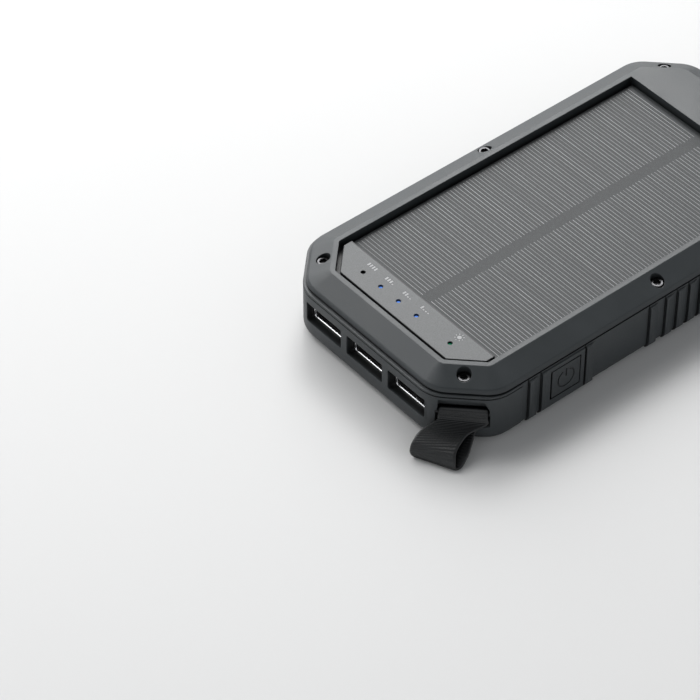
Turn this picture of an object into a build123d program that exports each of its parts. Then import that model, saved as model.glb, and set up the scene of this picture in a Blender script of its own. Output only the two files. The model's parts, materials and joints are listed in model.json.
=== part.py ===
"""Solar phone charger: a flat rugged power bank with a solar panel on its top.

Frame: +Z is up, the flat underside lies on Z = 0, the USB end faces -Y and the power button +X.
The origin is the centre of the underside. Lengths along the body are given from the USB end,
and front() turns them into Y. Millimetres throughout.
"""

from build123d import *
import math
import os

os.makedirs("parts", exist_ok=True)

# Body
LENGTH = 142.4
HALF_WIDTH = 37.9  # of the lower case round its two ends
HEIGHT = 20.2  # underside to the rim round the recess
CORNER_LEG = 12.5  # legs of the 45 degree corners
CORNER_RADIUS = 9.5
SEAM = 15.8  # top of the lower case
SEAM_GAP = 0.4  # closed by the seal, which lies a little way in
SEAL = (1.15, 1.55)  # inset of its two faces
WALL = 2.4
FLOOR = 1.8
BASE_RADIUS = 3.0  # rounding of the lower edge

# Lower case: the ends carry a bead, the sides stand back a little and carry grip ribs
SIDE_INSET = 0.25
END_ZONE = 20.8
BEAD_HEIGHT = 0.55
BEAD_ROUND = 0.25
BEAD_GROOVE = 0.35
RIB_PROUD = 0.65
RIB_TOP = 15.3
RIB_LENGTH = 3.2
PAD = (28.0, 42.2)  # flat pad round the button, and a like one on the other side
PAD_PROUD = 0.4
RIB_STARTS = (23.1, 27.4, 42.7, 65.3, 71.1, 75.3, 79.5, 83.6, 87.7, 91.8, 97.6, 115.0, 119.3)

# Top cover
SKIRT_INSET = (0.4, 1.05)  # along the sides, then at the ends
CREASE_INSET = (1.15, 1.25)
CREASE_HEIGHT = 17.25
CREASE_ROUND = 1.0
RIM_ROUND = 0.35
RIM_WIDTH = 1.4
RECESS_HALF_WIDTH = 29.6
RECESS_START = 8.2
RECESS_END = 121.6
RECESS_LEG = 8.05
RECESS_RADIUS = 1.2
CORE_BOTTOM = 14.5  # underside of the recess tray and of the screw bosses
PLATE_SEAT = 18.1
PANEL_SEAT = 15.9
PANEL_JOINT = 19.6  # where the indicator plate meets the solar panel
PLATE_GAP = 1.25  # open joint between the indicator plate and the wall of the recess
PLATE_GAP_FLOOR = 17.4
LEDGE = 3.0

# Screws that hold the two shells
CORNER_SCREW = (28.0, 9.5)
SIDE_SCREW = (33.9, LENGTH / 2)
HEAD_RADIUS = 1.66
HEAD_HEIGHT = 1.5
HEAD_TOP = 18.06
BORE_RADIUS = 1.93
SHANK_RADIUS = 1.0
SHANK_END = 11.3
SOCKET_FLATS = 2.0
INSERT_RADIUS = 1.6

# Indicator lights
LEVEL_LIGHTS = [-17.1 + 7.1 * i for i in range(4)]
SOLAR_LIGHT = 17.4
LIGHT_Y = 14.0
LIGHT_HOLE = 0.68
LIGHT_PIPE = 0.6
LIGHT_TOP = 18.6
PLATE_TOP = 19.3

# USB ports
PORT_PITCH = 16.5
PORT_WIDTH = 14.2
PORT_HEIGHT = 6.4
PORT_Z = 9.21
SHELL_WIDTH = 13.0
SHELL_HEIGHT = 5.7
SHELL_LENGTH = 14.0
SHEET = 0.3
PORT_WALL = 2.3  # the wall is thinner behind the flange of each socket
FLANGE_WIDTH = 14.8
FLANGE_HEIGHT = 7.0
FLANGE_THICKNESS = 0.5
LIP_ROUND = 0.42  # rounding of each socket's mouth
PORT_X = [PORT_PITCH * i for i in (-1, 0, 1)]

# Circuit board
BOARD_TOP = PORT_Z - SHELL_HEIGHT / 2
BOARD_THICKNESS = 1.2
BOARD_SCREWS = [(x, y) for x in (-19.5, 19.5) for y in (20.5, 40.5)]

# Power button and charging inlet, one on each side
BUTTON_Y = 35.85
BUTTON_Z = 8.83
BUTTON_SIZE = (9.35, 9.7)  # height and width
BUTTON_HOLE = (10.15, 10.5)
BUTTON_HOLE_PLACE = (35.65, 8.93)  # the button hangs a little off the middle of its hole
BUTTON_FACE = 38.0
BUTTON_SEAT = 35.3  # back of the cap, where its flange starts
SYMBOL_RADIUS = 2.78
SYMBOL_LINE = 0.45
SWITCH_FACE = 33.3
INLET_Y = 36.0
INLET_Z = BOARD_TOP + 1.63

# Battery
CELL_HALF_WIDTH = 30.0
CELL_START = 50.0
CELL_END = 128.0
CELL_THICKNESS = 5.0
CELL_BOTTOM = 2.6
TAPE = 0.3

# Strap corner: n is measured outwards from the flat of the corner, t along it
POCKET_DEPTH = 3.6
POCKET_LOW, POCKET_HIGH = 6.75, 10.25
POCKET_T = (-7.15, 6.9)
SCOOP_DEPTH = 2.6
SCOOP_TOP = 14.0
PIN_N, PIN_Z, PIN_RADIUS = -1.8, 8.5, 0.75
STRAP_THICKNESS = 0.8
STRAP_HALF_WIDTH = 6.5
STRAP_ROUND_PIN = 1.62  # outer radius where it turns round the pin
STRAP_BEND = 2.4  # outer radius at its free end
STRAP_END = 9.3  # middle of that bend, where t is 0
STRAP_END_Z = 2.6
STRAP_SKEW = 0.345  # the free end comes nearer to the case by this for each millimetre of -t


def front(y):
    """Y of a place that lies y from the USB end."""
    return y - LENGTH / 2


def block(x0, x1, y0, y1, z0, z1):
    return Pos((x0 + x1) / 2, front((y0 + y1) / 2), (z0 + z1) / 2) * Box(x1 - x0, y1 - y0, z1 - z0)


def post(x, y, radius, z0, z1):
    return Pos(x, front(y), (z0 + z1) / 2) * Cylinder(radius, z1 - z0)


def joined(pieces):
    """Separate solids that share one node."""
    return Compound(children=list(pieces))


def save(name, shape):
    export_step(shape, f"parts/{name}.step")


def octagon(half_width, start, end, leg, radius, z, square_end=False):
    """Rounded outline with 45 degree corners; the far corners can be left square."""
    right = [(half_width - leg, start), (half_width, start + leg)]
    right += [(half_width, end)] if square_end else [(half_width, end - leg), (half_width - leg, end)]
    points = right + [(-x, y) for x, y in reversed(right)]
    outline = Polygon(*[(x, front(y)) for x, y in points], align=None)
    return Pos(0, 0, z) * fillet(outline.vertices(), radius)


def case_outline(inset, z):
    """Plan outline of the body, set in evenly from the ends of the lower case."""
    leg = CORNER_LEG - inset * (2 - math.sqrt(2))
    return octagon(HALF_WIDTH - inset, inset, LENGTH - inset, leg, CORNER_RADIUS - inset, z)


def cover_outline(side, end, z):
    """Plan outline of the cover, set in by side along its sides and by end at its ends."""
    leg = CORNER_LEG - (side + end) * (1 - math.sqrt(0.5))
    return octagon(HALF_WIDTH - side, end, LENGTH - end, leg, CORNER_RADIUS - (side + end) / 2, z)


def recess_outline(grow, z, start=RECESS_START, end=RECESS_END):
    """Outline of the recess in the cover, grown evenly by grow."""
    leg = RECESS_LEG + grow * (2 - math.sqrt(2))
    radius = RECESS_RADIUS + max(grow, -0.6)  # an inner corner stays a little round
    return octagon(RECESS_HALF_WIDTH + grow, start - grow, end + grow, leg, radius, z, square_end=True)


def case_screws():
    corners = [(sx * CORNER_SCREW[0], y) for sx in (-1, 1) for y in (CORNER_SCREW[1], LENGTH - CORNER_SCREW[1])]
    sides = [(sx * SIDE_SCREW[0], SIDE_SCREW[1]) for sx in (-1, 1)]
    return corners, sides


CORNERS, SIDES = case_screws()


# ---- strap corner ----


def corner_plane():
    """Local x points outwards from the flat front right corner, local y along it, local z up."""
    centre = (HALF_WIDTH - CORNER_LEG / 2, front(CORNER_LEG / 2), 0)
    return Plane(origin=centre, x_dir=(1, -1, 0), z_dir=(0, 0, 1))


CORNER = corner_plane()


def corner_block(n0, n1, t0, t1, z0, z1):
    return Pos((n0 + n1) / 2, (t0 + t1) / 2, (z0 + z1) / 2) * Box(n1 - n0, t1 - t0, z1 - z0)


def side_prism(points, t0, t1):
    """Prism along t with its outline given in n and z."""
    return Pos(0, t1, 0) * extrude(Plane.XZ * Polygon(*points, align=None), t1 - t0)


def pocket():
    """Slot for the strap, with a scoop above its mouth."""
    slot = corner_block(-POCKET_DEPTH, 3, *POCKET_T, POCKET_LOW, POCKET_HIGH)
    gable = [(-6.9, 9.6), (6.9, 9.6), (6.7, 11.2), (5.3, SCOOP_TOP), (-6.45, SCOOP_TOP), (-6.6, 11.2)]
    face = Plane.YZ * Polygon(*gable, align=None)
    scoop = Pos(-SCOOP_DEPTH, 0, 0) * extrude(face, SCOOP_DEPTH + 3)
    lip = side_prism([(-2.6, 7.5), (-2.6, POCKET_LOW), (1, 4.3), (1, 7.5)], *POCKET_T)
    return slot + scoop + lip


def strap_pin(clearance=0.0):
    length = POCKET_T[1] - POCKET_T[0] + 2.6
    middle = (POCKET_T[0] + POCKET_T[1]) / 2
    pin = Rot(90, 0, 0) * Cylinder(PIN_RADIUS + clearance, length)
    return CORNER * (Pos(PIN_N, middle, PIN_Z) * pin)


def strap_section(t, thinner):
    """Drooping loop seen from its side: a belt round the pin and round the bend at its free end."""
    pin = Vector(PIN_N, PIN_Z)
    bend = Vector(STRAP_END + STRAP_SKEW * t, STRAP_END_Z)
    pin_radius = STRAP_ROUND_PIN - thinner
    bend_radius = STRAP_BEND - thinner
    along = bend - pin
    slant = math.degrees(math.atan2(along.Y, along.X))
    spread = math.degrees(math.acos((pin_radius - bend_radius) / along.length))
    radial = [Vector(1, 0).rotate(Axis.Z, slant + turn) for turn in (-spread, 0, spread, 180)]
    low, out, high, back = radial
    outline = [
        Line(pin + low * pin_radius, bend + low * bend_radius),
        ThreePointArc(bend + low * bend_radius, bend + out * bend_radius, bend + high * bend_radius),
        Line(bend + high * bend_radius, pin + high * pin_radius),
        ThreePointArc(pin + high * pin_radius, pin + back * pin_radius, pin + low * pin_radius),
    ]
    return Pos(0, t, 0) * (Plane.XZ * make_face(outline))


def strap_loop():
    """Webbing loop; its free end leans towards the USB ports."""
    outer, inner = [
        loft([strap_section(-14.5, thin), strap_section(7.5, thin)], ruled=True) for thin in (0, STRAP_THICKNESS)
    ]
    w = STRAP_HALF_WIDTH
    plan = [(-5, -w), (0.3, -w), (3.3, -11.2), (6.5, -13.2), (13, -14)]
    plan += [(13, -0.5), (9, -0.5), (6.2, 0.4), (3.3, 2.4), (0.3, w), (-5, w)]
    return CORNER * ((outer - inner) & extrude(Polygon(*plan, align=None), 14))


# ---- lower case ----


def rounded_block(inset, top, top_radius=0.0):
    """Solid body of the lower case with its lower edge rounded."""
    solid = extrude(case_outline(inset, 0), top)
    solid = fillet(solid.faces().sort_by(Axis.Z)[0].edges(), BASE_RADIUS)
    if top_radius:
        solid = fillet(solid.faces().sort_by(Axis.Z)[-1].edges(), top_radius)
    return solid


def end_zones(z0=-1.0, z1=30.0):
    wide = HALF_WIDTH + 5
    near = block(-wide, wide, -5, END_ZONE, z0, z1)
    far = block(-wide, wide, LENGTH - END_ZONE, LENGTH + 5, z0, z1)
    return near + far


def grip_ribs():
    """Saw-tooth ribs: a steep face towards the USB end, falling back to the wall behind it."""
    inner = HALF_WIDTH - 1.2
    wall = HALF_WIDTH - SIDE_INSET
    proud = wall + RIB_PROUD
    ribs = Part()
    for y in RIB_STARTS:
        plan = [(inner, y), (proud, y), (proud, y + 1.0), (wall, y + RIB_LENGTH), (inner, y + RIB_LENGTH)]
        ribs += extrude(Polygon(*[(x, front(v)) for x, v in plan], align=None), RIB_TOP)
    ribs += block(inner, wall + PAD_PROUD, *PAD, 0, RIB_TOP)
    ribs &= rounded_block(SIDE_INSET - RIB_PROUD, RIB_TOP, 0.6)
    return ribs + mirror(ribs, Plane.YZ)


def grip_grooves():
    """V-grooves at the foot of each rib's steep face."""
    wall = HALF_WIDTH - SIDE_INSET
    grooves = Part()
    for y in RIB_STARTS:
        plan = [(wall - 0.55, y - 0.1), (wall + 1, y - 0.75), (wall + 1, y)]
        grooves += extrude(Polygon(*[(x, front(v)) for x, v in plan], align=None), SEAM)
    return grooves + mirror(grooves, Plane.YZ)


def port_tube(width, height, y0, y1, x, radius):
    """Rounded bar through the middle of a USB port, from y0 to y1."""
    tube = extrude(RectangleRounded(width, height, radius), (y1 - y0) / 2, both=True)
    return Pos(x, front((y0 + y1) / 2), PORT_Z) * Rot(90, 0, 0) * tube


def bottom_case():
    body = rounded_block(SIDE_INSET, SEAM)
    ends = rounded_block(0, SEAM, BEAD_ROUND) & end_zones()
    groove_low = SEAM - BEAD_HEIGHT - BEAD_GROOVE
    groove = extrude(case_outline(-1, groove_low) - case_outline(0.3, groove_low), BEAD_GROOVE)
    body = body + ends + grip_ribs() - (groove & end_zones()) - grip_grooves()
    body -= extrude(case_outline(WALL, FLOOR), SEAM)

    # bosses for the six case screws, the strap corner and the board's standoffs
    for x, y in CORNERS:
        body += post(x, y, 2.9, FLOOR, CORE_BOTTOM - 0.02)
    for x, y in SIDES:
        body += post(x, y, 2.6, FLOOR, CORE_BOTTOM - 0.02) & extrude(case_outline(1, FLOOR), SEAM)
    body += CORNER * corner_block(-4.15, -1, POCKET_T[0] - 0.5, POCKET_T[1] + 0.5, FLOOR, CORE_BOTTOM - 0.02)
    for x, y in BOARD_SCREWS:
        body += post(x, y, 2.2, FLOOR, BOARD_TOP - BOARD_THICKNESS)

    # openings
    for x, y in CORNERS + SIDES:
        body -= post(x, y, INSERT_RADIUS, SHANK_END - 0.2, SEAM)
        body -= post(x, y, 2.55, CORE_BOTTOM - 0.02, SEAM + 1)
    for x in PORT_X:
        body -= port_tube(PORT_WIDTH, PORT_HEIGHT, -4, 4, x, 0.5)
        body -= port_tube(FLANGE_WIDTH + 0.3, FLANGE_HEIGHT + 0.3, PORT_WALL, WALL + 1.5, x, 1.0)
    for x, y in BOARD_SCREWS:
        body -= post(x, y, 0.85, 2.4, BOARD_TOP)
    button = extrude(RectangleRounded(*BUTTON_HOLE, 0.4), 4, both=True)
    hole_y, hole_z = BUTTON_HOLE_PLACE
    body -= Pos(HALF_WIDTH, front(hole_y), hole_z) * Rot(0, 90, 0) * button
    inlet = extrude(RectangleRounded(3.9, 9.6, 1.9), 4, both=True)
    body -= Pos(-HALF_WIDTH, front(INLET_Y), INLET_Z) * Rot(0, 90, 0) * inlet
    body -= CORNER * pocket()
    body -= strap_pin(0.01)
    return body


def case_seal():
    return extrude(case_outline(SEAL[0], SEAM) - case_outline(SEAL[1], SEAM), SEAM_GAP)


# ---- top cover ----


def level_edges(solid, z):
    return [e for e in solid.edges() if abs(e.center().Z - z) < 0.01 and e.bounding_box().size.Z < 0.01]


def cover_outside():
    """Solid under the cover's outer surface, with its crease and its rim rounded."""
    bottom = SEAM + SEAM_GAP
    rim = octagon(
        RECESS_HALF_WIDTH + RIM_WIDTH,
        RECESS_START - RIM_WIDTH,
        LENGTH - RECESS_START + RIM_WIDTH,
        RECESS_LEG + RIM_WIDTH * (2 - math.sqrt(2)),
        RECESS_RADIUS + RIM_WIDTH,
        HEIGHT,
    )
    crease = cover_outline(*CREASE_INSET, CREASE_HEIGHT)
    skirt = loft([cover_outline(*SKIRT_INSET, bottom), crease], ruled=True)
    flank = loft([crease, rim], ruled=True)
    solid = skirt + flank
    solid = solid.fillet(CREASE_ROUND, level_edges(solid, CREASE_HEIGHT))
    return solid.fillet(RIM_ROUND, level_edges(solid, HEIGHT))


def cover_hollow():
    """Space under the flank, between the skirt and the recess tray."""
    low = case_outline(2.2, SEAM)
    high = octagon(31.9, 8.0, LENGTH - 8.0, 9.2, 2.6, 18.4)
    return loft([low, high], ruled=True) - extrude(recess_outline(RIM_WIDTH, 0), HEIGHT)


def top_cover():
    outside = cover_outside()
    body = outside - cover_hollow()
    body += extrude(recess_outline(RIM_WIDTH, CORE_BOTTOM), 2.5)
    for x, y in CORNERS + SIDES:
        body += post(x, y, 3.0, SEAM + SEAM_GAP, HEIGHT) & outside
        body += post(x, y, 2.4, CORE_BOTTOM, SEAM + SEAM_GAP + 0.3)

    # recess: a seat for the indicator plate, and a deeper ledge round the solar panel
    body -= extrude(recess_outline(0, PLATE_SEAT), HEIGHT)
    w = RECESS_HALF_WIDTH
    gap = extrude(recess_outline(0, PLATE_GAP_FLOOR) - recess_outline(-PLATE_GAP - 0.1, PLATE_GAP_FLOOR), 3)
    body -= gap & block(-w, w, 0, PANEL_JOINT, 0, HEIGHT)
    body -= block(-w, w, PANEL_JOINT, RECESS_END, PANEL_SEAT, HEIGHT)
    body -= block(LEDGE - w, w - LEDGE, PANEL_JOINT + LEDGE, RECESS_END - LEDGE, 0, HEIGHT)
    body -= block(-22, 22, 9.2, 18.8, 0, PLATE_SEAT - 1.2)
    for x in LEVEL_LIGHTS + [SOLAR_LIGHT]:
        body -= post(x, LIGHT_Y, 0.7, 16, HEIGHT)
    for x, y in CORNERS + SIDES:
        body -= post(x, y, 1.15, 0, HEIGHT)
        body -= post(x, y, BORE_RADIUS, HEAD_TOP - HEAD_HEIGHT, HEIGHT + 1)
    return body


def screw(x, y, head_radius, head_height, head_top, shank_radius, shank_end):
    head = Cylinder(head_radius, head_height)
    head = fillet(head.edges().sort_by(Axis.Z)[-1], 0.15)
    socket = extrude(RegularPolygon(SOCKET_FLATS / 2, 6, major_radius=False), head_height)
    head -= socket
    shank = post(x, y, shank_radius, shank_end, head_top - head_height)
    return Pos(x, front(y), head_top - head_height / 2) * head + shank


def case_screw(x, y):
    return screw(x, y, HEAD_RADIUS, HEAD_HEIGHT, HEAD_TOP, SHANK_RADIUS, SHANK_END)


def screw_insert(x, y):
    body = post(x, y, INSERT_RADIUS, SHANK_END, CORE_BOTTOM - 0.1)
    return body - post(x, y, SHANK_RADIUS + 0.03, 0, HEIGHT)


# ---- solar panel and indicator plate ----


def panel_sheet(half_width, z0, z1, margin=0.0):
    return block(-half_width, half_width, PANEL_JOINT + 0.4 + margin, RECESS_END - 0.4 - margin, z0, z1)


def save_panel():
    half = RECESS_HALF_WIDTH - 0.9
    tape = panel_sheet(half - 0.3, PANEL_SEAT, PANEL_SEAT + 0.2, 0.3)
    save("panel_tape", tape - panel_sheet(RECESS_HALF_WIDTH - LEDGE + 0.2, 0, HEIGHT, 3.0))
    save("panel_board", panel_sheet(half, PANEL_SEAT + 0.2, 17.1))
    cell = block(1.65, half - 0.5, PANEL_JOINT + 1.0, RECESS_END - 1.0, 17.1, 17.3)
    save("solar_cell_right", cell)
    save("solar_cell_left", mirror(cell, Plane.YZ))
    save("panel_laminate", panel_sheet(half, 17.3, 18.0))


def indicator_plate():
    plate = extrude(recess_outline(-PLATE_GAP, PLATE_SEAT), PLATE_TOP - PLATE_SEAT)
    plate &= block(-40, 40, 0, PANEL_JOINT, 0, 30)
    plate = chamfer(plate.faces().sort_by(Axis.Z)[-1].edges(), 0.15)
    for x in LEVEL_LIGHTS + [SOLAR_LIGHT]:
        plate -= post(x, LIGHT_Y, LIGHT_HOLE, 0, 30)
    return plate


def light_pipe(x):
    return post(x, LIGHT_Y, LIGHT_PIPE, 16.85, LIGHT_TOP)


def save_indicator():
    save("indicator_plate", indicator_plate())
    for i, x in enumerate(LEVEL_LIGHTS):
        save(f"level_light_{i + 1}", light_pipe(x))
    save("solar_light", light_pipe(SOLAR_LIGHT))
    lamps = [block(x - 0.8, x + 0.8, LIGHT_Y - 0.4, LIGHT_Y + 0.4, 16.2, 16.8) for x in LEVEL_LIGHTS + [SOLAR_LIGHT]]
    save("indicator_leds", joined(lamps))
    save("indicator_board", block(-21, 21, 9.8, 18.4, 15.4, 16.2))


# ---- circuit board and sockets ----


def main_board():
    outline = [(-24, 6), (-21, 3), (21, 3), (24, 6), (24, 15.5), (33.2, 15.5), (33.2, 44), (-33.2, 44), (-33.2, 15.5)]
    outline.append((-24, 15.5))
    plate = Polygon(*[(x, front(y)) for x, y in outline], align=None)
    board = extrude(Pos(0, 0, BOARD_TOP - BOARD_THICKNESS) * plate, BOARD_THICKNESS)
    for x, y in BOARD_SCREWS:
        board -= post(x, y, 1.15, 0, HEIGHT)
    return board


def board_screw(x, y):
    head = post(x, y, 1.9, BOARD_TOP, BOARD_TOP + 1.1)
    cross = block(x - 1.2, x + 1.2, y - 0.25, y + 0.25, BOARD_TOP + 0.5, BOARD_TOP + 2)
    cross += block(x - 0.25, x + 0.25, y - 1.2, y + 1.2, BOARD_TOP + 0.5, BOARD_TOP + 2)
    return head - cross + post(x, y, 0.8, 2.6, BOARD_TOP)


def usb_shell(x, start, end):
    """Steel tube with a flange whose mouth is rounded, so that a plug finds its way in."""
    shell = port_tube(SHELL_WIDTH, SHELL_HEIGHT, start, end, x, 0.7)
    shell += port_tube(FLANGE_WIDTH, FLANGE_HEIGHT, start, start + FLANGE_THICKNESS, x, 1.0)
    shell -= port_tube(SHELL_WIDTH - 2 * SHEET, SHELL_HEIGHT - 2 * SHEET, start - 1, end + 1, x, 0.45)
    mouth = shell.faces().sort_by(Axis.Y)[0].inner_wires()[0]
    return fillet(mouth.edges(), LIP_ROUND)


def save_ports():
    start = PORT_WALL + 0.05
    end = start + SHELL_LENGTH
    for i, x in enumerate(PORT_X):
        save(f"usb_shell_{i + 1}", usb_shell(x, start, end))
        back = port_tube(SHELL_WIDTH - 2 * SHEET - 0.1, SHELL_HEIGHT - 2 * SHEET - 0.1, end - 1.6, end - 0.1, x, 0.4)
        tongue = block(x - 5.55, x + 5.55, 4.95, end - 1.5, PORT_Z + 0.25, PORT_Z + 2.05)
        save(f"usb_tongue_{i + 1}", back + tongue)
        rows = [x + dx for dx in (-3.5, -1.0, 1.0, 3.5)]
        strips = [block(c - 0.5, c + 0.5, 5.3, end - 1.65, PORT_Z + 0.05, PORT_Z + 0.25) for c in rows]
        save(f"usb_contacts_{i + 1}", joined(strips))


def save_inlet():
    def tube(across, height, x0, x1, radius):
        solid = extrude(RectangleRounded(height, across, radius), (x1 - x0) / 2, both=True)
        return Pos((x0 + x1) / 2, front(INLET_Y), INLET_Z) * Rot(0, 90, 0) * solid

    save("inlet_shell", tube(8.9, 3.2, -35.3, -28.0, 1.5) - tube(8.4, 2.7, -36, -28.4, 1.3))
    save("inlet_tongue", tube(6.6, 0.7, -34.5, -28.4, 0.3))


def save_board_parts():
    top = BOARD_TOP
    save("main_board", main_board())
    save("board_screws", joined(board_screw(x, y) for x, y in BOARD_SCREWS))
    save("power_inductor", fillet(block(-13, -5.6, 22.5, 29.9, top, top + 4.2).edges().filter_by(Axis.Z), 1.2))
    save("control_chip", block(-1.5, 3.5, 23, 28, top, top + 0.9))
    save("charge_chip", block(8, 12, 21, 25, top, top + 0.9))
    spots = [(-2.0, 32.5), (2.0, 32.5), (15.0, 28.0), (15.0, 31.0), (-16.0, 33.0)]
    save("capacitors", joined(block(x - 1.0, x + 1.0, y - 0.6, y + 0.6, top, top + 1.2) for x, y in spots))
    save("battery_connector", block(-3.8, 3.8, 37.6, 42.0, top, top + 5.4))
    save("panel_connector", block(5.4, 12.6, 29.4, 33.6, top, top + 5.4))
    save("board_header", block(7.25, 9.25, 8.4, 18.4, top, top + 2.5))
    pins = [post(8.25, 9.6 + 2.54 * i, 0.32, top + 2.5, 15.4) for i in range(4)]
    save("header_pins", joined(pins))


# ---- battery ----


def pouch(z):
    cell = block(-CELL_HALF_WIDTH, CELL_HALF_WIDTH, CELL_START, CELL_END, z, z + CELL_THICKNESS)
    return fillet(cell.edges().filter_by(Axis.Y) + cell.edges().filter_by(Axis.X), 1.2)


def tab(x, z_cell, z_board):
    """Nickel strip from a cell's front edge up or down to the protection board."""
    half, thick = 2.0, 0.2
    low, high = min(z_cell, z_board), max(z_cell, z_board)
    strip = block(x - half, x + half, 49.0, 49.0 + thick, low, high)
    return strip + block(x - half, x + half, 49.0, CELL_START, z_cell - thick / 2, z_cell + thick / 2)


def save_battery():
    upper = CELL_BOTTOM + CELL_THICKNESS + TAPE
    save("battery_cell_lower", pouch(CELL_BOTTOM))
    save("battery_cell_upper", pouch(upper))
    save("cell_tape", block(-20, 20, 60, 118, upper - TAPE, upper))
    low = [block(sx * 20 - 6, sx * 20 + 6, 56, 122, FLOOR, CELL_BOTTOM) for sx in (-1, 1)]
    save("cell_pads_lower", joined(low))
    high = [block(sx * 27.7 - 1, sx * 27.7 + 1, 60, 118, upper + CELL_THICKNESS, CORE_BOTTOM) for sx in (-1, 1)]
    save("cell_pads_upper", joined(high))
    save("protection_board", block(-16, 16, 45.4, 49.4, 7.3, 8.1))
    middle = CELL_BOTTOM + CELL_THICKNESS / 2
    tabs = [tab(sx * 9, middle, 7.3) for sx in (-1, 1)]
    tabs += [tab(sx * 9, upper + CELL_THICKNESS / 2, 8.1) for sx in (-1, 1)]
    save("cell_tabs", joined(tabs))


def lead(points, bend):
    """Insulated wire along straight runs joined by arcs."""
    path = FilletPolyline(*[(x, front(y), z) for x, y, z in points], radius=bend)
    section = Plane(origin=path @ 0, z_dir=path % 0) * Circle(0.55)
    return sweep(section, path)


def save_leads():
    battery = [lead([(x, 47.2, 8.1), (x, 47.2, 10.2), (x, 42.0, 10.2)], 1.6) for x in (-1.25, 1.25)]
    save("battery_leads", joined(battery))
    down = BOARD_TOP + 5.4
    panel = []
    for x in (7.75, 10.25):
        route = [(x, 26.0, PANEL_SEAT + 0.2), (x, 26.0, 13.6), (x, 31.5, 13.6), (x, 31.5, down)]
        panel.append(lead(route, 1.4))
    save("panel_leads", joined(panel))


# ---- power button ----


def power_button():
    """Square cap with a sunk ring and bar, on a flange that keeps it in the case."""
    depth = BUTTON_FACE - BUTTON_SEAT
    cap = extrude(RectangleRounded(*BUTTON_SIZE, 0.3), depth)
    cap = fillet(cap.faces().sort_by(Axis.Z)[-1].edges(), 0.15)
    flange = Pos(0, 0, -0.8) * extrude(RectangleRounded(11.8, 11.8, 1.2), 0.8)
    stem = Pos(0, 0, -1.4) * Cylinder(1.5, 0.6, align=(Align.CENTER, Align.CENTER, Align.MIN))
    ring = Circle(SYMBOL_RADIUS + SYMBOL_LINE / 2) - Circle(SYMBOL_RADIUS - SYMBOL_LINE / 2)
    gap = Polygon((0, 0), (4, -1.8), (4, 1.8), align=None)
    bar = Pos(1.9, 0) * Rectangle(2.6, SYMBOL_LINE)
    symbol = Rot(0, 0, 180) * ((ring - gap) + bar)
    button = cap + flange + stem - Pos(0, 0, depth - 0.25) * extrude(symbol, 1)
    return Pos(BUTTON_SEAT, front(BUTTON_Y), BUTTON_Z) * Rot(0, 90, 0) * button


def save_button():
    save("power_button", power_button())
    along = Pos(0, front(BUTTON_Y), BUTTON_Z) * Rot(0, 90, 0)
    body = block(29.6, SWITCH_FACE, BUTTON_Y - 3, BUTTON_Y + 3, BOARD_TOP, 11.0)
    well = along * Pos(0, 0, SWITCH_FACE) * Cylinder(1.5, 3.0)
    save("power_switch", body - well)
    plunger = Cylinder(1.44, 1.4, align=(Align.CENTER, Align.CENTER, Align.MIN))
    save("switch_plunger", along * Pos(0, 0, 32.5) * plunger)


save("bottom_case", bottom_case())
save("case_seal", case_seal())
save("top_cover", top_cover())
save("corner_screws", joined(case_screw(x, y) for x, y in CORNERS))
save("side_screws", joined(case_screw(x, y) for x, y in SIDES))
save("screw_inserts", joined(screw_insert(x, y) for x, y in CORNERS + SIDES))
save("strap_loop", strap_loop())
save("strap_pin", strap_pin())
save_panel()
save_indicator()
save_ports()
save_inlet()
save_board_parts()
save_battery()
save_leads()
save_button()
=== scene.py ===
"""Looks of the solar phone charger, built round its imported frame. Metres, +Z up, USB sockets towards -Y."""

import json
import math

import bpy
from mathutils import Matrix, Vector


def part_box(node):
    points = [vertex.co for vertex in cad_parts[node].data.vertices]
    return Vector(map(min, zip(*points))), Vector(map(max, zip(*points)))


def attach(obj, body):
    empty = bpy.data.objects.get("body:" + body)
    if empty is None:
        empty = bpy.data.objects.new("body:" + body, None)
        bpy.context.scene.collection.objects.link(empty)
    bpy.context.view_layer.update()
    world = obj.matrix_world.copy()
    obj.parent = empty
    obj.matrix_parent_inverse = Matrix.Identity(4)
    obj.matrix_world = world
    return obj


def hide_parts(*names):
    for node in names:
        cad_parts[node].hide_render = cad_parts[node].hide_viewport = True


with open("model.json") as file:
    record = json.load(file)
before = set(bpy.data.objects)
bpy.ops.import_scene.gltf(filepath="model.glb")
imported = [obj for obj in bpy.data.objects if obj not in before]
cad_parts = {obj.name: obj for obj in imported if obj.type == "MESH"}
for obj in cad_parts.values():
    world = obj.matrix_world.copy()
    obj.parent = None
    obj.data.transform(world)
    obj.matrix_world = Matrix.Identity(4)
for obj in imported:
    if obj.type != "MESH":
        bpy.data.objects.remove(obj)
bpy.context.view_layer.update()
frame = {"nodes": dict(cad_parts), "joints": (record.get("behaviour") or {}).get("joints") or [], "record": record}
MM = 0.001


# ---- camera, lights and floor ----

AZIMUTH = math.radians(50.17)  # of the camera, from -Y towards +X
ELEVATION = math.radians(44.41)
AIM = Vector((-0.01213, -0.06581, 0.0))
DISTANCE = 0.878
LENS = 171.75
FLOOR_Z = 0.0


def towards(azimuth, elevation):
    """Unit vector from the object; azimuth 0 is towards -Y and 90 degrees towards +X."""
    flat = math.cos(elevation)
    return Vector((math.sin(azimuth) * flat, -math.cos(azimuth) * flat, math.sin(elevation)))


def make_camera():
    data = bpy.data.cameras.new("camera")
    data.lens = LENS
    data.sensor_width = 36
    data.clip_start = 0.02
    data.clip_end = 20
    camera = bpy.data.objects.new("camera", data)
    back = towards(AZIMUTH, ELEVATION)
    camera.location = AIM + back * DISTANCE
    camera.rotation_mode = "QUATERNION"
    camera.rotation_quaternion = (-back).to_track_quat("-Z", "Y")
    bpy.context.scene.collection.objects.link(camera)
    bpy.context.scene.camera = camera


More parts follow.
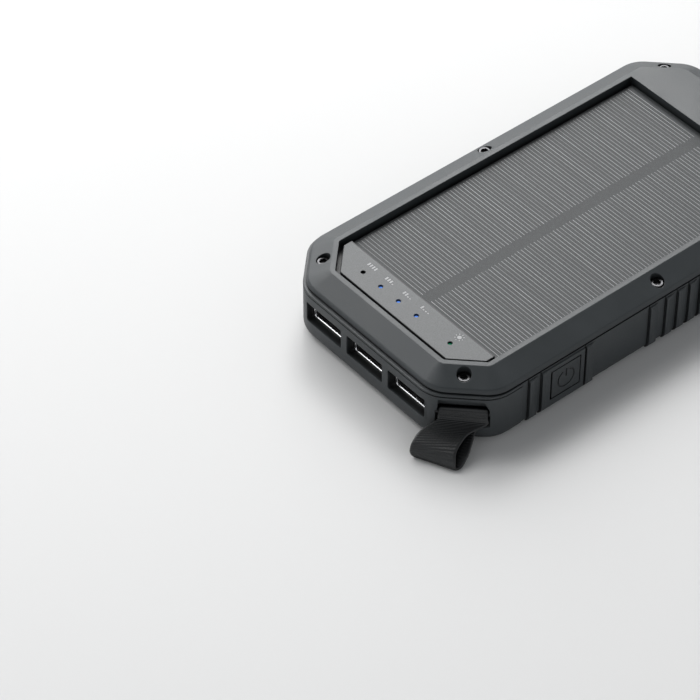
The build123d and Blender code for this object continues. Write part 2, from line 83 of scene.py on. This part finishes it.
def area_light(name, azimuth, elevation, distance, size, radiance):
    """Square soft box that faces the object; radiance is what it shows to the object."""
    data = bpy.data.lights.new(name, "AREA")
    data.shape = "RECTANGLE"
    data.size, data.size_y = size
    data.energy = radiance * math.pi * size[0] * size[1]
    lamp = bpy.data.objects.new(name, data)
    out = towards(math.radians(azimuth), math.radians(elevation))
    lamp.location = out * distance
    lamp.rotation_mode = "QUATERNION"
    lamp.rotation_quaternion = out.to_track_quat("Z", "Y")
    bpy.context.scene.collection.objects.link(lamp)


# Height of a direction, from level to straight up, and the room's brightness there
SKY = ((0.0, 0.76), (0.6, 0.52), (0.85, 0.14), (1.0, 0.05))
SKY_COLOUR = (0.95, 0.975, 1.0, 1)


def make_world():
    """Dim room, lightest near the horizon and dark overhead."""
    world = bpy.data.worlds.new("studio")
    bpy.context.scene.world = world
    world.use_nodes = True
    tree = world.node_tree
    place = tree.nodes.new("ShaderNodeTexCoord")
    split = tree.nodes.new("ShaderNodeSeparateXYZ")
    fall = tree.nodes.new("ShaderNodeValToRGB")
    stops = fall.color_ramp.elements
    for i, (height, value) in enumerate(SKY):
        stop = stops[i] if i < 2 else stops.new(height)  # a new ramp has two stops
        stop.position = height
        stop.color = (value, value, value, 1)
    background = tree.nodes["Background"]
    background.inputs["Color"].default_value = SKY_COLOUR
    tree.links.new(place.outputs["Generated"], split.inputs[0])
    tree.links.new(split.outputs["Z"], fall.inputs["Fac"])
    tree.links.new(fall.outputs[0], background.inputs["Strength"])


def make_floor():
    bpy.ops.mesh.primitive_plane_add(size=12, location=(0, 0, FLOOR_Z))
    floor = bpy.context.object
    floor.name = "floor"
    floor.data.materials.append(floor_material())


# ---- material helpers ----


class Nodes:
    """Short forms for a material's nodes."""

    def __init__(self, name):
        self.material = bpy.data.materials.new(name)
        self.material.use_nodes = True
        self.tree = self.material.node_tree
        self.shader = self.tree.nodes["Principled BSDF"]
        self.place = self.add("ShaderNodeTexCoord").outputs["Object"]

    def add(self, kind, **values):
        node = self.tree.nodes.new(kind)
        for name, value in values.items():
            setattr(node, name, value)
        return node

    def link(self, value, socket):
        """Joins an output to an input, or sets the input to a plain value."""
        if isinstance(value, bpy.types.NodeSocket):
            self.tree.links.new(value, socket)
        elif isinstance(value, (tuple, list)) and len(value) == 3 and socket.type == "RGBA":
            socket.default_value = (*value, 1)
        else:
            socket.default_value = value

    def set(self, **values):
        for name, value in values.items():
            self.link(value, self.shader.inputs[name.replace("_", " ")])
        return self

    def noise(self, size, detail=2.0, place=None, roughness=0.5):
        """Noise from 0 to 1 with features of that size in metres."""
        node = self.add("ShaderNodeTexNoise")
        self.link(place or self.place, node.inputs["Vector"])
        self.link(1 / size, node.inputs["Scale"])
        self.link(detail, node.inputs["Detail"])
        self.link(roughness, node.inputs["Roughness"])
        return node.outputs["Fac"]

    def math(self, operation, a, b=0.0):
        node = self.add("ShaderNodeMath", operation=operation)
        self.link(a, node.inputs[0])
        self.link(b, node.inputs[1])
        return node.outputs[0]

    def spread(self, value, low, high, out_low=0.0, out_high=1.0):
        """Maps low..high to out_low..out_high and stops at both ends."""
        node = self.add("ShaderNodeMapRange")
        for i, v in enumerate((value, low, high, out_low, out_high)):
            self.link(v, node.inputs[i])
        return node.outputs[0]

    def mix(self, share, a, b):
        """Colour between a and b; sockets 6, 7 and 2 are the mix node's colour sockets."""
        node = self.add("ShaderNodeMix", data_type="RGBA")
        self.link(share, node.inputs["Factor"])
        self.link(a, node.inputs[6])
        self.link(b, node.inputs[7])
        return node.outputs[2]

    def bump(self, height, depth, normal=None):
        """Bump whose height runs from 0 to depth metres."""
        node = self.add("ShaderNodeBump")
        self.link(1.0, node.inputs["Strength"])
        self.link(depth, node.inputs["Distance"])
        self.link(height, node.inputs["Height"])
        if normal:
            self.link(normal, node.inputs["Normal"])
        return node.outputs["Normal"]

    def painted_shade_openness(self, distance):
        """From 0 deep in a gap to 1 where nothing is nearer than distance."""
        node = self.add("ShaderNodeAmbientOcclusion", samples=6)
        self.link(distance, node.inputs["Distance"])
        return node.outputs["AO"]

    def soft_edges(self, radius):
        """Normal with edges rounded by radius."""
        node = self.add("ShaderNodeBevel", samples=4)
        self.link(radius, node.inputs["Radius"])
        return node.outputs["Normal"]

    def axis(self, letter):
        node = self.add("ShaderNodeSeparateXYZ")
        self.link(self.place, node.inputs[0])
        return node.outputs[letter]


def floor_material():
    m = Nodes("floor_paper")
    m.set(Base_Color=(0.68, 0.678, 0.674), Roughness=0.65)
    m.set(Normal=m.bump(m.noise(0.0008), 0.00001))
    return m.material


PAINTED_SHADE_REACH = 3.5 * MM  # painted shade: a place is painted darker with something nearer than this over it
PAINTED_SHADE_REACH_RANGE = (0.3, 0.85)  # painted shade: how open the most shaded places and the unshaded places are
MOULD_BLOTCH = 12 * MM
MOULD_GRAIN = 0.35 * MM
MOULD_DEPTH = 0.01 * MM
MOULD_EDGE = 0.25 * MM


def moulded_nodes(name, dark, light, roughness):
    """Spark-textured moulding: fine grain, faint blotches, slightly rounded edges."""
    m = Nodes(name)
    blotch = m.noise(MOULD_BLOTCH, 3)
    fine = m.noise(MOULD_GRAIN, 2, roughness=0.6)
    shade = m.mix(m.spread(blotch, 0.3, 0.7), dark, light)
    # painted shade: in gaps and under things the colour is painted darker, down to 0.15 of the dark tone
    share = m.spread(m.painted_shade_openness(PAINTED_SHADE_REACH), *PAINTED_SHADE_REACH_RANGE)
    m.set(Base_Color=m.mix(share, tuple(0.15 * c for c in dark), shade))
    rough = m.math("ADD", m.spread(blotch, 0.3, 0.7, -0.03, 0.03), roughness)
    m.set(Roughness=m.math("ADD", rough, m.spread(fine, 0.3, 0.7, -0.04, 0.04)))
    m.set(Normal=m.bump(fine, MOULD_DEPTH, m.soft_edges(MOULD_EDGE)))
    return m


def case_material():
    """The shells' plastic; painted shade makes the walls of the three socket openings nearly black."""
    m = moulded_nodes("case_plastic", (0.0265, 0.0315, 0.034), (0.034, 0.0395, 0.043), 0.48)
    plain = m.shader.inputs["Base Color"].links[0].from_socket
    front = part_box("bottom_case")[0][1]
    low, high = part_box("usb_shell_1")
    side = -low[0] + 0.3 * MM
    level = m.math("SUBTRACT", m.axis("Z"), (low[2] + high[2]) / 2)
    # painted shade: the walls of the socket openings, from just behind the front, are painted nearly black
    painted_shade_mask = m.spread(m.axis("Y"), front + 0.2 * MM, front + 0.8 * MM, 0.0, 0.93)
    for value, near, far in (
        (m.math("ABSOLUTE", m.axis("X")), side, side + 0.2 * MM),
        (m.math("ABSOLUTE", level), 3.3 * MM, 3.5 * MM),
        (m.axis("Y"), front + 5 * MM, front + 6 * MM),
    ):
        painted_shade_mask = m.math("MULTIPLY", painted_shade_mask, m.spread(value, near, far, 1.0, 0.0))
    m.set(Base_Color=m.mix(painted_shade_mask, plain, (0.002, 0.002, 0.002)))
    return m.material


METAL_GRAIN = 0.2 * MM
METAL_EDGE = 0.1 * MM


def plain_metal(name, colour, roughness):
    m = Nodes(name)
    fine = m.noise(METAL_GRAIN, 3)
    m.set(Base_Color=m.mix(fine, tuple(0.92 * c for c in colour), colour), Metallic=1.0)
    m.set(Roughness=m.spread(fine, 0.2, 0.8, roughness - 0.05, roughness + 0.07))
    m.set(Normal=m.bump(fine, 0.002 * MM, m.soft_edges(METAL_EDGE)))
    return m.material


def port_material():
    """Bright rolled lip; farther back the steel is painted dark and dull as painted shade, giving back little
    light.
    """
    m = Nodes("port_steel")
    fine = m.noise(0.0002, 3)
    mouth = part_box("usb_shell_1")[0][1]
    # painted shade: from 0.5 to 1.2 mm behind the mouth the steel turns dark
    painted_shade_mask = m.spread(m.axis("Y"), mouth + 0.5 * MM, mouth + 1.2 * MM)
    m.set(Base_Color=m.mix(painted_shade_mask, (0.82, 0.82, 0.83), (0.035, 0.035, 0.036)), Metallic=1.0)
    rough = m.spread(painted_shade_mask, 0.0, 1.0, 0.2, 0.6)
    m.set(Roughness=m.math("ADD", rough, m.spread(fine, 0.2, 0.8, -0.04, 0.05)))
    return m.material


def panel_material():
    """Satin laminate, speckled all over by the texture of its embossing."""
    m = Nodes("panel_laminate")
    grain = m.noise(0.00024, 2, roughness=0.75)
    coarse = m.noise(0.0012, 2)
    shade = m.math("MULTIPLY", m.spread(grain, 0.28, 0.72), m.spread(coarse, 0.3, 0.7, 0.75, 1.0))
    m.set(Base_Color=m.mix(shade, (0.007, 0.0084, 0.0093), (0.05, 0.056, 0.059)), Roughness=0.52)
    m.set(Specular_IOR_Level=0.32, Normal=m.bump(grain, 0.00002, m.soft_edges(0.0001)))
    return m.material


def finger_material():
    """Printed silver lines under the laminate, uneven along their length and from one to the next."""
    m = Nodes("cell_fingers")
    lines = m.add("ShaderNodeCombineXYZ")
    m.link(m.math("MULTIPLY", m.axis("X"), 0.05), lines.inputs["X"])
    m.link(m.axis("Y"), lines.inputs["Y"])
    patch = m.noise(0.0022, 2, lines.outputs[0])
    grain = m.noise(0.0003, 2, roughness=0.7)
    shade = m.math("MULTIPLY", m.spread(patch, 0.35, 0.65, 0.3, 1.0), m.spread(grain, 0.3, 0.7, 0.6, 1.0))
    m.set(Base_Color=m.mix(shade, (0.04, 0.043, 0.045), (0.25, 0.26, 0.265)), Roughness=0.42)
    m.set(Normal=m.bump(grain, 0.000008))
    return m.material


def plate_material():
    """Satin grey paint on the top of the plate; painted shade makes its sides, the walls of its holes and a thin
    band along its back edge nearly black.
    """
    m = Nodes("plate_grey")
    grain = m.noise(0.0003, 2, roughness=0.6)
    paint = m.mix(m.spread(grain, 0.3, 0.7), (0.035, 0.039, 0.041), (0.062, 0.0675, 0.07))
    back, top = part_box("indicator_plate")[1][1:]
    # painted shade: lower than the top, and in the last 0.4 mm before the back edge, the colour is nearly black
    painted = m.spread(m.axis("Z"), top - 0.1 * MM, top - 0.02 * MM)
    painted = m.math("MULTIPLY", painted, m.spread(m.axis("Y"), back - 0.5 * MM, back - 0.4 * MM, 1.0, 0.0))
    m.set(Base_Color=m.mix(painted, (0.006, 0.006, 0.007), paint), Roughness=0.46)
    m.set(Normal=m.bump(grain, 0.000008, m.soft_edges(0.0001)))
    return m.material


def mark_material():
    m = Nodes("plate_marks")
    grain = m.noise(0.0002, 2)
    m.set(Base_Color=m.mix(grain, (0.26, 0.265, 0.27), (0.37, 0.375, 0.38)), Roughness=0.5)
    return m.material


def webbing_material():
    """Nylon yarn: fine fibres over the woven ribs, with a soft gloss; painted shade darkens the yarn and dims its
    gloss where things are close over it.
    """
    m = Nodes("webbing")
    fibre = m.noise(0.00012, 3, roughness=0.7)
    tone = m.noise(0.0015, 2)
    shade = m.math("MULTIPLY", m.spread(fibre, 0.3, 0.7, 0.5, 1.0), m.spread(tone, 0.3, 0.7, 0.7, 1.0))
    # painted shade: close under the case, as in the strap's pocket, the yarn is painted darker and less glossy
    share = m.spread(m.painted_shade_openness(PAINTED_SHADE_REACH), *PAINTED_SHADE_REACH_RANGE)
    shade = m.math("MULTIPLY", shade, share)
    m.set(Base_Color=m.mix(shade, (0.001, 0.0014, 0.0017), (0.008, 0.0095, 0.0105)), Roughness=0.38)
    m.set(Specular_IOR_Level=m.math("MULTIPLY", share, 0.6), Normal=m.bump(fibre, 0.00005))
    return m.material


def lens_material(name, colour, glow):
    m = Nodes(name)
    fine = m.noise(0.0003, 2)
    m.set(Base_Color=m.mix(fine, tuple(0.8 * c for c in colour), colour), Roughness=0.3)
    m.set(Emission_Color=colour, Emission_Strength=glow)
    return m.material


def plastic(name, dark, light, roughness):
    return lambda: moulded_nodes(name, dark, light, roughness).material


MAKERS = {
    "case_plastic": case_material,
    "button_rubber": plastic("button_rubber", (0.025, 0.0295, 0.032), (0.032, 0.037, 0.04), 0.52),
    "seal_rubber": plastic("seal_rubber", (0.008, 0.008, 0.008), (0.012, 0.012, 0.012), 0.7),
    "screw_steel": lambda: plain_metal("screw_steel", (0.055, 0.055, 0.057), 0.3),
    "insert_brass": lambda: plain_metal("insert_brass", (0.72, 0.56, 0.28), 0.3),
    "pin_steel": lambda: plain_metal("pin_steel", (0.55, 0.55, 0.56), 0.3),
    "pin_black": lambda: plain_metal("pin_black", (0.05, 0.05, 0.052), 0.4),
    "panel_adhesive": plastic("panel_adhesive", (0.03, 0.03, 0.03), (0.05, 0.05, 0.05), 0.8),
    "circuit_board": plastic("circuit_board", (0.01, 0.08, 0.03), (0.02, 0.12, 0.05), 0.35),
    "solar_cell": plastic("solar_cell", (0.01, 0.012, 0.02), (0.02, 0.022, 0.03), 0.25),
    "panel_film": panel_material,
    "plate_grey": plate_material,
    "level_lens": lambda: lens_material("level_lens", (0.13, 0.32, 0.95), 0.75),
    "level_lens_off": lambda: lens_material("level_lens_off", (0.01, 0.012, 0.02), 0.0),
    "solar_lens": lambda: lens_material("solar_lens", (0.01, 0.3, 0.14), 0.35),
    "lamp_white": plastic("lamp_white", (0.7, 0.7, 0.66), (0.8, 0.8, 0.76), 0.4),
    "port_steel": port_material,
    "port_insulator": plastic("port_insulator", (0.012, 0.012, 0.013), (0.018, 0.018, 0.02), 0.45),
    "contact_gold": lambda: plain_metal("contact_gold", (0.83, 0.62, 0.28), 0.25),
    "chip_black": plastic("chip_black", (0.01, 0.01, 0.01), (0.016, 0.016, 0.016), 0.5),
    "capacitor_tan": plastic("capacitor_tan", (0.35, 0.25, 0.16), (0.42, 0.3, 0.2), 0.5),
    "pouch_foil": lambda: plain_metal("pouch_foil", (0.7, 0.71, 0.72), 0.45),
    "foam": plastic("foam", (0.05, 0.05, 0.05), (0.08, 0.08, 0.08), 0.9),
    "nickel": lambda: plain_metal("nickel", (0.68, 0.66, 0.62), 0.3),
    "wire_jacket": plastic("wire_jacket", (0.4, 0.02, 0.02), (0.5, 0.03, 0.03), 0.5),
    "switch_white": plastic("switch_white", (0.7, 0.7, 0.66), (0.78, 0.78, 0.74), 0.4),
    "webbing": webbing_material,
}


def dress_cad_nodes():
    made = {name: make() for name, make in MAKERS.items()}
    for part in frame["record"]["subparts"]:
        node = frame["nodes"][part["node"]]
        node.data.materials.clear()
        node.data.materials.append(made[part["material_slot"]])
    return made


# ---- mesh helpers ----


def new_piece(name, body, material, verts, faces):
    """Mesh object from points and faces, riding a body."""
    mesh = bpy.data.meshes.new(name)
    mesh.from_pydata(verts, [], faces)
    mesh.materials.append(material)
    piece = bpy.data.objects.new(name, mesh)
    bpy.context.scene.collection.objects.link(piece)
    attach(piece, body)
    return piece


def raised_shape(outline, z, height, verts, faces):
    """Adds a flat raised shape with sloping edges; outline is counter-clockwise."""
    count = len(outline)
    start = len(verts)
    middle = sum((Vector(p) for p in outline), Vector((0, 0))) / count
    for level, shrink in ((z, 1.0), (z + height, 0.92)):
        verts += [(*(middle + (Vector(p) - middle) * shrink), level) for p in outline]
    faces.append([start + i for i in reversed(range(count))])
    faces.append([start + count + i for i in range(count)])
    for i in range(count):
        j = (i + 1) % count
        faces.append([start + i, start + j, start + count + j, start + count + i])


def bar(x, y, width, length, turn=0.0):
    """Corners of a bar centred on x, y and turned about its centre."""
    across = Vector((math.cos(turn), math.sin(turn))) * (width / 2)
    along = Vector((-math.sin(turn), math.cos(turn))) * (length / 2)
    middle = Vector((x, y))
    near, far = middle - along, middle + along
    return [near - across, near + across, far + across, far - across]


# ---- solar cells and indicator marks ----

FINGER_PITCH = 1.15 * MM
FINGER_WIDTH = 0.16 * MM
FINGER_HEIGHT = 0.02 * MM
FIELD_EDGE = 0.7 * MM  # from the rim of the laminate to the ends of the lines


def cell_fingers():
    """Two fields of fine lines across the panel, with a plain band between them."""
    low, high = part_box("panel_laminate")
    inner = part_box("solar_cell_right")[0][0]
    outer = high[0] - FIELD_EDGE
    count = int((high[1] - low[1] - 2 * FIELD_EDGE) / FINGER_PITCH)
    verts, faces = [], []
    for i in range(count):
        y = low[1] + FIELD_EDGE + (i + 0.5) * FINGER_PITCH
        ragged = 0.25 * MM * math.sin(2.3 * i)
        for side in (-1, 1):
            near, far = inner + abs(ragged), outer - 0.5 * abs(ragged)
            line = bar(side * (near + far) / 2, y, far - near, FINGER_WIDTH)
            raised_shape(line, high[2], FINGER_HEIGHT, verts, faces)
    return new_piece("cell_fingers", "charger", finger_material(), verts, faces)


MARK_BEHIND_LIGHT = 3.2 * MM
MARK_HEIGHT = 0.02 * MM
GAUGE_STEP = 0.9 * MM
GAUGE_BAR = (0.52 * MM, 1.1 * MM)
GAUGE_DOT = (0.52 * MM, 0.35 * MM)
SUN_RADIUS = 0.6 * MM
SUN_RAYS = 8


def plate_marks():
    """Behind each level light a four-step gauge with its full steps tall, behind the last light a sun."""
    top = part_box("indicator_plate")[1][2]
    verts, faces = [], []
    for level in range(1, 5):
        low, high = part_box(f"level_light_{5 - level}")
        x, y = (low[0] + high[0]) / 2, (low[1] + high[1]) / 2 + MARK_BEHIND_LIGHT
        for step in range(4):
            width, length = GAUGE_BAR if step < level else GAUGE_DOT
            centre = y - (GAUGE_BAR[1] - length) / 2
            mark = bar(x + (step - 1.5) * GAUGE_STEP, centre, width, length)
            raised_shape(mark, top, MARK_HEIGHT, verts, faces)
    low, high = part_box("solar_light")
    x, y = (low[0] + high[0]) / 2, (low[1] + high[1]) / 2 + MARK_BEHIND_LIGHT
    turns = [math.tau * i / 24 for i in range(24)]
    disc = [(x + SUN_RADIUS * math.cos(a), y + SUN_RADIUS * math.sin(a)) for a in turns]
    raised_shape(disc, top, MARK_HEIGHT, verts, faces)
    for i in range(SUN_RAYS):
        turn = math.tau * i / SUN_RAYS
        reach = 1.95 * SUN_RADIUS
        ray = bar(x + reach * math.cos(turn), y + reach * math.sin(turn), 0.4 * MM, 0.2 * MM, turn)
        raised_shape(ray, top, MARK_HEIGHT, verts, faces)
    return new_piece("plate_marks", "charger", mark_material(), verts, faces)


# ---- webbing loop ----

WEB_THICKNESS = 0.8 * MM
RIB_PITCH = 0.75 * MM
RIB_DEPTH = 0.06 * MM
WARP_PITCH = 0.72 * MM
SELVAGE = 0.7 * MM
STEPS_ALONG = 420
STEPS_ACROSS = 72

# Edges of the loop as it lies: n outwards from the pin, height z, t along the pin, in millimetres.
# Both lists start on top of the pin, go out to the fold, come back under it and end behind the pin.
RIGHT_EDGE = [
    (0.0, 9.72, 6.5), (1.1, 7.6, 6.5), (2.0, 6.3, 6.2), (4.9, 5.6, 1.9), (7.8, 5.0, 0.0), (10.4, 3.95, -1.05),
    (12.3, 2.35, -1.0), (12.9, 1.1, -0.9), (12.6, 0.5, -0.3), (11.8, 0.75, 0.7), (9.2, 1.95, 1.95),
    (6.4, 2.75, 2.65), (4.0, 3.6, 3.15), (2.7, 4.4, 3.5), (1.7, 5.2, 4.7), (0.8, 6.4, 6.0), (0.0, 7.28, 6.5),
    (-1.22, 8.5, 6.5),
]
LEFT_EDGE = [
    (0.0, 9.72, -6.5), (1.1, 8.0, -6.6), (2.0, 7.0, -6.9), (4.9, 5.7, -10.7), (7.7, 4.3, -12.5),
    (8.5, 2.95, -12.9), (8.65, 1.75, -12.9), (8.7, 0.95, -12.5), (8.4, 0.5, -12.1), (7.8, 0.75, -11.6),
    (6.8, 1.9, -10.9), (5.2, 2.85, -10.1), (3.6, 3.7, -9.1), (2.7, 4.55, -7.9), (1.7, 5.35, -7.0),
    (0.8, 6.45, -6.6), (0.0, 7.28, -6.5), (-1.22, 8.5, -6.5),
]


def smooth_loop(points):
    """Points close together on a closed curve through the given ones."""
    count = len(points)
    rough = []
    for i in range(count):
        p0, p1, p2, p3 = (points[(i + k - 1) % count] for k in range(4))
        for j in range(24):
            u = j / 24
            square = 2 * p0 - 5 * p1 + 4 * p2 - p3
            cube = 3 * p1 - p0 - 3 * p2 + p3
            rough.append(0.5 * (2 * p1 + (p2 - p0) * u + square * u**2 + cube * u**3))
    return rough


def webbing_loop(material):
    """Woven strap: a thickened ruled surface between its two edges, with ribs and selvages in it."""
    joint = next(j for j in frame["joints"] if j["name"] == "strap_swing")
    pin = Vector((joint["pos_m"][0], joint["pos_m"][1], 0))
    along = Vector((1, 1, 0)).normalized()
    out = Vector((1, -1, 0)).normalized()

    def place(n, z, t):
        return pin + out * (n * MM) + along * (t * MM) + Vector((0, 0, z * MM))

    edges = [smooth_loop([place(*p) for p in edge]) for edge in (LEFT_EDGE, RIGHT_EDGE)]
    middle = [(a + b) / 2 for a, b in zip(*edges)]
    travelled = [0.0]
    for i in range(len(middle)):
        travelled.append(travelled[-1] + (middle[(i + 1) % len(middle)] - middle[i]).length)
    length = travelled[-1]
    ribs = round(length / RIB_PITCH)

    # evenly spaced stations along the loop
    stations = []
    k = 0
    for i in range(STEPS_ALONG):
        want = length * i / STEPS_ALONG
        while travelled[k + 1] < want:
            k += 1
        share = (want - travelled[k]) / (travelled[k + 1] - travelled[k])
        following = (k + 1) % len(middle)
        stations.append([edge[k].lerp(edge[following], share) for edge in edges])

    rows = [[a.lerp(b, j / STEPS_ACROSS) for j in range(STEPS_ACROSS + 1)] for a, b in stations]
    verts, faces = [], []
    for i, row in enumerate(rows):
        before, after = rows[i - 1], rows[(i + 1) % STEPS_ALONG]
        width = (row[-1] - row[0]).length
        for j, point in enumerate(row):
            across = row[min(j + 1, STEPS_ACROSS)] - row[max(j - 1, 0)]
            normal = across.cross(after[j] - before[j]).normalized()
            inset = min(j, STEPS_ACROSS - j) / STEPS_ACROSS * width
            woven = min(1.0, inset / SELVAGE)
            weft = math.cos(math.tau * ribs * i / STEPS_ALONG)
            warp = math.cos(math.tau * inset / WARP_PITCH)
            relief = RIB_DEPTH * (woven * weft * (0.75 + 0.25 * warp) + 0.25 * warp * woven)
            corner = math.sqrt(min(1.0, inset / (0.5 * WEB_THICKNESS)))
            half = WEB_THICKNESS / 2 * (0.35 + 0.65 * corner)
            verts.append(point + normal * (half + relief))
            verts.append(point - normal * (half + relief))
    columns = 2 * (STEPS_ACROSS + 1)
    for i in range(STEPS_ALONG):
        a, b = i * columns, (i + 1) % STEPS_ALONG * columns
        for j in range(0, columns - 2, 2):
            faces.append([a + j, a + j + 2, b + j + 2, b + j])
            faces.append([a + j + 1, b + j + 1, b + j + 3, a + j + 3])
        faces.append([a, b, b + 1, a + 1])
        faces.append([a + columns - 2, a + columns - 1, b + columns - 1, b + columns - 2])
    piece = new_piece("strap_webbing", "strap", material, verts, faces)
    for face in piece.data.polygons:
        face.use_smooth = True
    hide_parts("strap_loop")
    return piece


make_camera()
make_world()
make_floor()
area_light("key", -112, 39, 1.0, (1.05, 1.0), 3.45)
area_light("back", -131, 42, 1.3, (0.4, 0.4), 9)
area_light("front_left", -66, 46, 1.2, (0.4, 0.4), 6)
area_light("front_strip", -39, 26, 0.9, (0.22, 0.22), 3.2)
bpy.context.scene.view_settings.view_transform = "Standard"
made = dress_cad_nodes()
cell_fingers()
plate_marks()
webbing_loop(made["webbing"])
